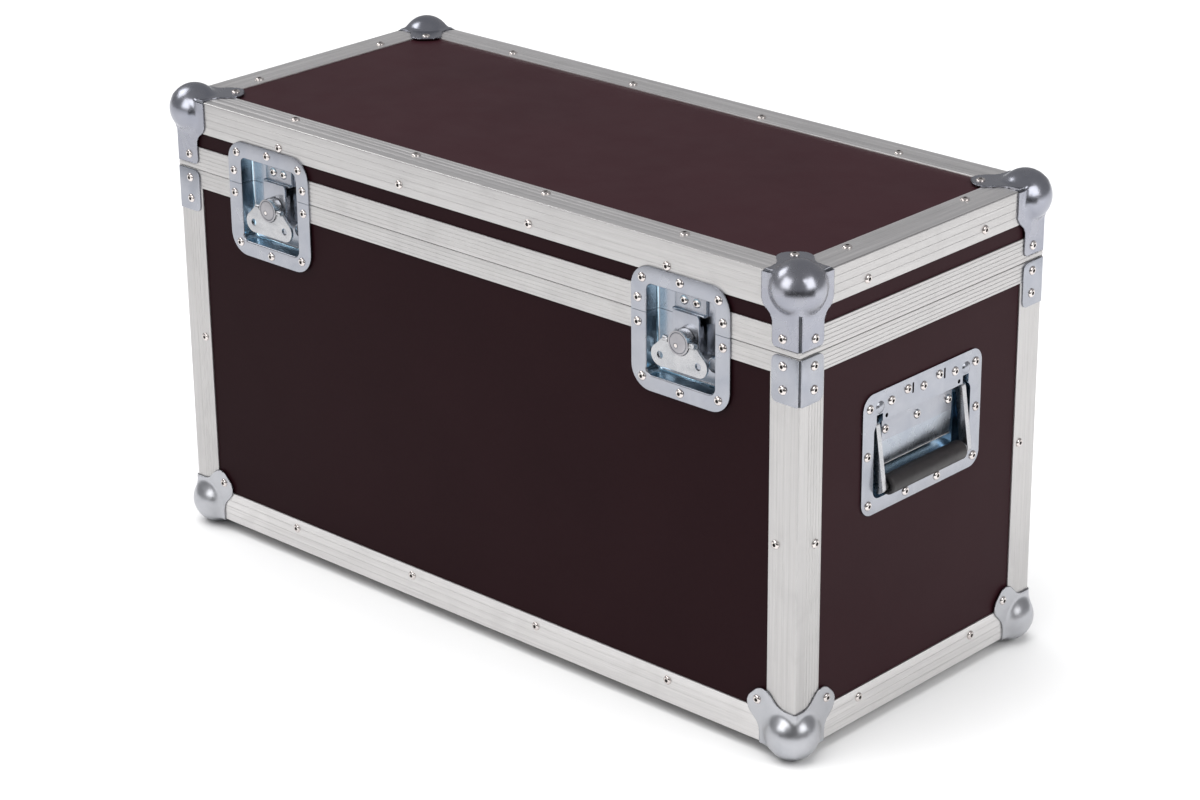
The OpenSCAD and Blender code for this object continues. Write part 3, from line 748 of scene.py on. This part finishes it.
def tab_plate(x0, x1, z0, z1, thick, ease=0.45):
    """A flat plate that stands out by its thickness, with an eased front edge."""
    inner_r, outer_r = 1.0, 6.0
    steps = ((0, 0), (0, ease - thick), (0.3 * ease, 0.3 * ease - thick), (ease, -thick))
    return stack([tab(x0, x1, z0, z1, inner_r, outer_r, shrink, y) for shrink, y in steps])


def seam_shade_profile(out):
    """A thin strip folded round a corner, which stands out by so much. It is dark, and paints the shade in
    an open seam.
    """
    reach, cut = 4.0, 0.4
    return corners_at((0, reach), (-out, reach), (-out, cut), (cut, -out), (reach, -out), (reach, 0), (0, 0))


# A dark strip along a corner that paints the shade in an open seam.
def seam_shade_strip(start, end):
    return swept(seam_shade_profile(0.25), square_cut(start), square_cut(end))


def braces():
    height, width, seam, inset = 40, 27.8, 0.8, 0.6
    top = z_split - half_gap - 0.3
    low = top - height
    # Dark strips that paint the shade in the seams down the braces, the lid's posts and the lid's top edges.
    edge_seam_shade = seam_shade_strip(24, 38)
    post_seam_shade = seam_shade_strip(z_top - 60, z_top - 28)
    brace_seam_shade = seam_shade_strip(low + inset, top - inset)
    plates, seam_shades_low, seam_shades_high = Shape(), Shape(), Shape()
    for corner in CORNERS:
        place = corner_frame(corner)
        for swap in BOTH_SIDES:
            plates.add(*tab_plate(seam, width, low, top, SKIN), place @ swap)
            seam_shades_high.add(*edge_seam_shade, place @ at(0, 0, z_top) @ HANG @ swap)
        seam_shades_low.add(*brace_seam_shade, place @ UPRIGHT)
        seam_shades_high.add(*post_seam_shade, place @ UPRIGHT)
    plates.make("corner_brace_set", "case_body", [ZINC], ["corner_braces"], "zinc_steel")
    seam_shades_low.make("brace_seam_shade_strips", "case_body", [SEAM_PAINTED_SHADE], [], "zinc_steel")
    seam_shades_high.make("corner_seam_shade_strips", "lid", [SEAM_PAINTED_SHADE], [], "zinc_steel")


# ---- Pressed dishes, as stacks of rounded loops ----

def loop(half, up, down, r, y, steps=8):
    """A rounded rectangle at one depth, with points on its straight sides."""
    r = max(r, 0.05)
    x = half - r
    corners = ((x, up - r, 0), (-x, up - r, 90), (-x, r - down, 180), (x, r - down, 270))
    points = []
    for cx, cz, turn in corners:
        for i in range(steps + 1):
            a = math.radians(turn + 90 * i / steps)
            points.append((cx + r * math.cos(a), y, cz + r * math.sin(a)))
    return points


def stack(rings):
    """Joins loops of equal length one after another, and closes both ends with a face."""
    n = len(rings[0])
    verts = [p for ring in rings for p in ring]
    faces = []
    for i in range(len(rings) - 1):
        for j in range(n):
            k = (j + 1) % n
            faces.append((i * n + j, i * n + k, (i + 1) * n + k, (i + 1) * n + j))
    faces.append(tuple(range(n))[::-1])
    faces.append(tuple(range((len(rings) - 1) * n, len(rings) * n)))
    return verts, faces


def pressed_dish(plate, opening, depth, sheet, lip, root, edge):
    """A pressed plate with a dish in it, as one closed skin.

    plate and opening are (half width, up, down, radius). The rings go from the dish's back, round the
    plate's rim to its front, and down the dish's wall to its floor.
    """
    (pw, pu, pd, pr), (ow, ou, od, r) = plate, opening
    rim_steps, root_steps = 4, 5
    front = -plate_t
    back = sheet - root
    rings = [
        loop(ow + back, ou + back, od + back, max(r - root, 1), depth + sheet),
        loop(ow + sheet, ou + sheet, od + sheet, r + sheet, depth + back),
        loop(ow + sheet, ou + sheet, od + sheet, r + sheet, 0),
        loop(pw, pu, pd, pr, 0),
    ]
    for across, down in ((0, front + edge), (0.3 * edge, front + 0.3 * edge), (edge, front)):
        rings.append(loop(pw - across, pu - across, pd - across, pr - across, down))
    for i in range(rim_steps + 1):
        t = math.pi / 2 * i / rim_steps
        out = lip * (1 - math.sin(t))
        rings.append(loop(ow + out, ou + out, od + out, r + out, front + lip * (1 - math.cos(t))))
    for i in range(root_steps + 1):
        t = math.pi / 2 * i / root_steps
        inward = root * (1 - math.cos(t))
        rings.append(loop(ow - inward, ou - inward, od - inward, max(r - inward, 0.6),
                          depth - root + root * math.sin(t)))
    return stack(rings)


def cut_half(shape, height, way):
    """Keeps the part of a closed shape on one side of a level, and closes the cut."""
    bm = bmesh.new()
    mesh = bpy.data.meshes.new("cut")
    mesh.from_pydata(shape[0], [], shape[1])
    bm.from_mesh(mesh)
    bmesh.ops.recalc_face_normals(bm, faces=bm.faces)
    cut = bmesh.ops.bisect_plane(bm, geom=bm.verts[:] + bm.edges[:] + bm.faces[:], plane_co=(0, 0, height),
                                 plane_no=(0, 0, way), clear_inner=True)
    edges = [g for g in cut["geom_cut"] if isinstance(g, bmesh.types.BMEdge)]
    bmesh.ops.contextual_create(bm, geom=edges)
    verts = [tuple(v.co) for v in bm.verts]
    faces = [[v.index for v in f.verts] for f in bm.faces]
    bm.free()
    bpy.data.meshes.remove(mesh)
    return verts, faces


def lathe(profile, sides=24):
    """A profile of (radius, height) turned about Z. A radius of 0 closes it with a point."""
    verts, rows = [], []
    for r, h in profile:
        if r == 0:
            rows.append([len(verts)] * sides)
            verts.append((0, 0, h))
            continue
        rows.append(list(range(len(verts), len(verts) + sides)))
        verts.extend((r * math.cos(2 * math.pi * j / sides), r * math.sin(2 * math.pi * j / sides), h)
                     for j in range(sides))
    faces = []
    for low, high in zip(rows, rows[1:]):
        for j in range(sides):
            k = (j + 1) % sides
            quad = [low[j], low[k], high[k], high[j]]
            faces.append([v for i, v in enumerate(quad) if v not in quad[:i]])
    return verts, faces


def in_wall(verts, face):
    """1 on the latch dish's walls, 0 on its plate and its floor. The walls take the zinc with the painted
    reflection.
    """
    depth = sum(verts[i][1] for i in face) / len(face)
    return int(0.6 < depth < LATCH_DEPTH - 0.4)


def latch_dishes():
    whole = pressed_dish(LATCH_PLATE, LATCH_OPENING, LATCH_DEPTH, LATCH_SHEET, lip=1.3, root=2.6, edge=0.4)
    boss = lathe([(7.2, 0), (6.9, -0.9), (6.2, -1.5), (5.4, -1.2), (4.9, -0.5), (4.4, -0.35), (0, -0.3)], 28)
    boss_x, boss_z = 23.8, -33.8
    for end in ENDS:
        side = side_name(end)
        place = latch_frame(end)
        low, high = Shape(), Shape()
        low.add(*cut_half(whole, -half_gap, -1), place, in_wall)
        for across in ENDS:
            low.add(*boss, place @ at(across * boss_x, LATCH_DEPTH + 0.1, boss_z) @ FACE_OUT @ HANG)
        high.add(*cut_half(whole, half_gap, 1), place, in_wall)
        looks = [ZINC, ZINC_WALL_PAINTED_REFLECTION]
        low.make("latch_dish_pressing_" + side, "case_body", looks, ["latch_dish_" + side], "zinc_steel")
        high.make("lid_dish_pressing_" + side, "lid", looks, ["lid_dish_" + side], "zinc_steel")


# ---- Rivets ----

def rivet(shape, place):
    """A domed head on Z = 0, with the hollow left by its mandrel, which is dark partly in its own tone and
    partly with painted shade.
    """
    dome = [(4.0, 0), (4.0, 0.35), (3.8, 0.8), (3.35, 1.25)]
    dome += [(2.8, 1.6), (2.2, 1.82), (1.85, 1.9), (1.6, 1.82)]
    hollow = [(1.6, 1.82), (1.5, 1.3), (1.4, 0.5), (0.8, 0.45), (0, 0.6)]
    shape.add(*lathe(dome, 20), place)
    shape.add(*lathe(hollow, 20), place, 1)


def face_rivet(shape, place, x, z, out=0.0):
    rivet(shape, place @ at(x, -out, z) @ FACE_OUT)


EDGE_RIVET_IN = 21.3
POST_RIVET_IN = 22.5
LONG_RIVETS = (-229, -76.5, 76.5, 229)
SHORT_RIVETS = (-76.5, 76.5)
POST_RIVET_UP = 181.5
LOBE_RIVET = 38.5
BRACE_RIVET_IN = 16
BRACE_RIVETS_DOWN = (9, 29)
LEG_RIVET = (16.5, 52)
BODY_LATCH_RIVETS = ((-40.6, -55.8), (40.6, -55.8), (0, -60.5), (-45.2, -9.6), (45.2, -9.6))
LID_LATCH_RIVETS = ((-40.6, 29.2), (40.6, 29.2), (0, 33.5), (-45.2, 11.2), (45.2, 11.2))
KEEPER_RIVET = (6.7, 14.5)
KEEPER_T = 2
PLATE_RIVETS = ((70, 41), (72, 0), (70, -43.5), (42, 40.5), (21, 44), (21, -46))
PLATE_TOP_RIVET = 40.5
SHELF_RIVET = (42, 14)
HINGE_RIVETS = (-22, 0, 22)
HINGE_RIVET_UP = 27
HINGE_LEAF_T = 2.5
HINGE_OUT = 4


def edge_rivets(shape, level, way):
    """Rivets on both flanges of the edging at a level. way is 1 at the top, where they face up."""
    for side in SIDES:
        for x in LONG_RIVETS if side in ("front", "back") else SHORT_RIVETS:
            face_rivet(shape, side_frame(side), x, level - way * EDGE_RIVET_IN)
            flip = Matrix.Identity(4) if way > 0 else HANG
            rivet(shape, side_frame(side) @ at(x, EDGE_RIVET_IN, level) @ flip)


def hinge_frame(end):
    return side_frame("back") @ at(-end * latch_x, -HINGE_OUT, z_split)


def body_rivets():
    shape = Shape()
    edge_rivets(shape, z_base, -1)
    for corner in CORNERS:
        for swap in BOTH_SIDES:
            place = corner_frame(corner) @ swap
            face_rivet(shape, place, POST_RIVET_IN, z_base + POST_RIVET_UP)
            for down in BRACE_RIVETS_DOWN:
                face_rivet(shape, place, BRACE_RIVET_IN, z_split - down, SKIN)
            face_rivet(shape, place, LOBE_RIVET, z_base + LOBE_RIVET, SKIN)
        rivet(shape, corner_frame(corner) @ at(LOBE_RIVET, LOBE_RIVET, z_base - SKIN) @ HANG)
    for end in ENDS:
        for x, z in BODY_LATCH_RIVETS:
            face_rivet(shape, latch_frame(end), x, z, plate_t)
        handle_rivets(shape, handle_frame(end))
        for x in HINGE_RIVETS:
            face_rivet(shape, hinge_frame(end), x, -HINGE_RIVET_UP, -HINGE_LEAF_T)
    shape.make("body_rivet_set", "case_body", [NICKEL, MANDREL_AND_PAINTED_SHADE], ["body_rivets"], "rivet", 60, fix=False)


def handle_rivets(shape, place):
    shelf_x, shelf_z = SHELF_RIVET
    for side in ENDS:
        for x, z in PLATE_RIVETS:
            face_rivet(shape, place, side * x, z)
        face_rivet(shape, place, side * shelf_x, shelf_z, -HANDLE_SHELF)
    face_rivet(shape, place, 0, PLATE_TOP_RIVET)
    face_rivet(shape, place, 0, shelf_z, -HANDLE_SHELF)


def lid_rivets():
    shape = Shape()
    edge_rivets(shape, z_top, 1)
    for corner in CORNERS:
        rivet(shape, corner_frame(corner) @ at(LOBE_RIVET, LOBE_RIVET, z_top + SKIN))
        for swap in BOTH_SIDES:
            face_rivet(shape, corner_frame(corner) @ swap, LEG_RIVET[0], z_top - LEG_RIVET[1], SKIN)
    for end in ENDS:
        for x, z in LID_LATCH_RIVETS:
            face_rivet(shape, latch_frame(end), x, z, plate_t)
        for side in ENDS:
            x, z = KEEPER_RIVET
            face_rivet(shape, latch_frame(end), side * x, z, KEEPER_T - LATCH_DEPTH)
        for x in HINGE_RIVETS:
            face_rivet(shape, hinge_frame(end), x, HINGE_RIVET_UP, -HINGE_LEAF_T)
    shape.make("lid_rivet_set", "lid", [NICKEL, MANDREL_AND_PAINTED_SHADE], ["lid_rivets"], "rivet", 60, fix=False)


# ---- Carried-over parts and small hardware ----

def panels():
    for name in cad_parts:
        if "_panel_" in name:
            # The front and back panels take the darker copy of the film: painted shade.
            long_side = name.endswith(("front", "back"))
            use_material(name, LONG_PLY_PAINTED_SHADE if long_side else PLY)


def recess_look(centre):
    """0 down to the handle dish's shelf, 1 on the slope below the shelf, 2 in the deep part. 1 takes the
    zinc with painted light, 2 the zinc with painted shade.
    """
    depth = half_w - abs(centre.x)
    return int(depth > HANDLE_SHELF + 0.4) + int(depth > HANDLE_SHELF + 2)


def stem_look(centre):
    """0 on the drum's face, 1 on its side and all behind it. The face takes the steel with painted shade,
    the side the steel with painted light.
    """
    return int(centre.y > box_mm("stem_right")[0].y + 0.6)


def ledge_painted_highlight(end):
    """A bright steel bead along the lower end of the slope in a handle dish, a painted highlight on the fold
    there.
    """
    r = 0.7
    (depth, level), half = HANDLE_SLOPE_FOOT, HANDLE_SLOPE_HALF
    turns = [math.radians(30 * i) for i in range(12)]
    ring = [Vector((depth + r * math.sin(a), level + r * math.cos(a))) for a in turns]
    shape = Shape()
    shape.add(*swept(ring, square_cut(-half), square_cut(half)), handle_frame(end))
    shape.make("ledge_painted_highlight_" + side_name(end), "case_body", [STEEL], [], "zinc_steel", 40)


def drum_mark(side):
    """The ring turned in the drum's face, and the small peened pin beside its middle. The ring and the pin's
    moat take the dark seam steel, painted shade.
    """
    low, high = box_mm("stem_" + side)
    place = at((low.x + high.x) / 2, low.y, drum_z + z_split) @ FACE_OUT
    inner, outer, sunk = 8.3, 9.1, -0.3
    top = [(outer, 0.02), (8.9, 0.04), (8.5, 0.04), (inner, 0.02)]
    ring = lathe(top + [(inner, sunk), (outer, sunk), (outer, 0.02)], 48)
    pin_place = place @ at(-2.4, -2.7, 0)
    moat = lathe([(2.3, -0.2), (2.3, 0.03), (1.8, 0.03), (0, 0.03)], 24)
    pin = lathe([(1.7, 0), (1.7, 0.04), (1.4, 0.06), (0.9, 0.06), (0, 0.06)], 20)
    shape = Shape()
    shape.add(*ring, place)
    shape.add(*moat, pin_place)
    shape.add(*pin, pin_place, look=1)
    shape.make("drum_mark_" + side, side + "_stem", [SEAM_PAINTED_SHADE, NICKEL], [], "bright_steel", 60)


def hardware():
    eased_copy("hinge_pins", "hinge_pin_set", "case_body", [STEEL], 0.4)
    for side in ("left", "right"):
        eased_copy("keeper_" + side, "keeper_plate_" + side, "lid", [ZINC], 0.5)
        eased_copy("claw_" + side, "claw_plate_" + side, side + "_claw", [ZINC], 0.8)
        eased_copy("stem_" + side, "stem_drum_" + side, side + "_stem", [DRUM_FACE_PAINTED_SHADE, DRUM_SIDE_PAINTED_LIGHT],
                   0.5, look=stem_look)
        drum_mark(side)
        eased_copy("wing_" + side, "wing_plate_" + side, side + "_wing", [SATIN], 0.5)
        eased_copy("handle_dish_" + side, "handle_pressing_" + side, "case_body", [ZINC, SLOPE_PAINTED_LIGHT, RECESS_PAINTED_SHADE],
                   0.6, look=recess_look)
        ledge_painted_highlight(1 if side == "right" else -1)
        eased_copy("bail_" + side, "bail_arms_" + side, side + "_bail", [SATIN], 0.7)
        eased_copy("grip_" + side, "grip_sleeve_" + side, side + "_bail", [RUBBER], 2.2, 5)
        eased_copy("hinge_leaf_body_" + side, "hinge_low_" + side, "case_body", [ZINC], 0.3)
        eased_copy("hinge_leaf_lid_" + side, "hinge_high_" + side, "lid", [ZINC], 0.3)
        use_material("handle_spring_" + side, STEEL)


# ---- Studio ----

def area_light(name, place, target, size, radiance):
    light = bpy.data.lights.new(name, "AREA")
    light.shape = "RECTANGLE"
    light.size, light.size_y = size
    light.energy = radiance * math.pi * size[0] * size[1]
    lamp = bpy.data.objects.new(name, light)
    lamp.location = place
    lamp.rotation_euler = (Vector(target) - Vector(place)).to_track_quat("-Z", "Y").to_euler()
    scene.collection.objects.link(lamp)
    return lamp


CAMERA_AT = Vector((1.84946, -1.97518, 1.28842))
CAMERA_AZIMUTH = 43.013
CAMERA_ELEVATION = 22.390
CAMERA_ROLL = -0.583
CAMERA_LENS = 97.99


def camera():
    """The photograph's viewing angle."""
    data = bpy.data.cameras.new("camera")
    data.sensor_width = 36
    data.lens = CAMERA_LENS
    data.clip_end = 60
    eye = bpy.data.objects.new("camera", data)
    pan = Matrix.Rotation(math.radians(CAMERA_AZIMUTH), 3, "Z")
    tilt = Matrix.Rotation(math.radians(90 - CAMERA_ELEVATION), 3, "X")
    roll = Matrix.Rotation(math.radians(CAMERA_ROLL), 3, "Z")
    turn = pan @ tilt @ roll
    right, up, back = (turn @ Vector(axis) for axis in ((1, 0, 0), (0, 1, 0), (0, 0, 1)))
    eye.matrix_world = Matrix.Translation(CAMERA_AT) @ turn.to_4x4()
    scene.collection.objects.link(eye)
    scene.camera = eye
    return right, up, back


def floor():
    look = Look("studio_floor")
    soft = look.noise(3, 2)
    look.drive("Base Color", look.mix(look.level(soft, 0, 1), (0.56, 0.56, 0.562), (0.575, 0.575, 0.575)))
    look.set(Roughness=0.9, Specular_IOR_Level=0.0)
    mesh = bpy.data.meshes.new("studio_floor")
    reach = 9.0
    corners = [(-reach, -reach, 0), (reach, -reach, 0), (reach, reach, 0), (-reach, reach, 0)]
    mesh.from_pydata(corners, [], [(0, 1, 2, 3)])
    mesh.materials.append(look.material)
    ground = bpy.data.objects.new("studio_floor", mesh)
    scene.collection.objects.link(ground)


def studio(right, up, back):
    world = bpy.data.worlds.new("studio")
    scene.world = world
    world.use_nodes = True
    world.node_tree.nodes["Background"].inputs["Color"].default_value = (0.36, 0.36, 0.37, 1)
    ball = Vector((half_w, -half_d, z_top)) * MM
    for name, (x, y, z), distance, size, radiance in (
        ("softbox_left", (-0.794, 0.247, 0.556), 1.65, (1.08, 1.08), 2.8),
        ("softbox_right", (0.666, 0.231, 0.711), 1.65, (1.08, 1.08), 2.8),
        ("softbox_far", (-0.709, 0.687, -0.160), 2.6, (1.2, 1.2), 3.0),
    ):
        area_light(name, ball + (right * x + up * y + back * z) * distance, ball, size, radiance)
    sun = bpy.data.lights.new("overhead", "SUN")
    sun.energy = 4.8
    sun.angle = math.radians(70)
    lamp = bpy.data.objects.new("overhead", sun)
    lamp.rotation_euler = (math.radians(8), math.radians(-8), 0)
    lamp.visible_glossy = False
    scene.collection.objects.link(lamp)
    fill = area_light("fill_right", (2.4, 0.9, 1.3), (half_w * MM, 0, 0.1), (1.8, 1.8), 4.0)
    fill.visible_glossy = False
    scene.view_settings.view_transform = "Standard"
    dark_screen(ball, back)


def dark_screen(middle, toward):
    """A low dark screen round the camera's side, seen only in reflections, as a dark studio would be."""
    look = Look("dark_screen")
    soft = look.noise(4, 2)
    look.drive("Base Color", look.mix(look.level(soft, 0, 1), (0.02, 0.02, 0.02), (0.03, 0.03, 0.03)))
    look.set(Roughness=0.9, Specular_IOR_Level=0.0)
    heading = math.atan2(toward.y, toward.x)
    radius, height, spread, steps = 1.15, 0.50, math.radians(62), 32
    verts = []
    for i in range(steps + 1):
        a = heading + spread * (2 * i / steps - 1)
        x, y = middle.x + radius * math.cos(a), middle.y + radius * math.sin(a)
        verts += [(x, y, 0.005), (x, y, height)]
    mesh = bpy.data.meshes.new("dark_screen")
    mesh.from_pydata(verts, [], [(2 * i, 2 * i + 2, 2 * i + 3, 2 * i + 1) for i in range(steps)])
    mesh.materials.append(look.material)
    screen = bpy.data.objects.new("dark_screen", mesh)
    scene.collection.objects.link(screen)
    screen.visible_camera = False
    screen.visible_diffuse = False
    screen.visible_shadow = False


floor()
studio(*camera())
panels()
edging()
rims()
ball_corners()
braces()
latch_dishes()
hardware()
body_rivets()
lid_rivets()
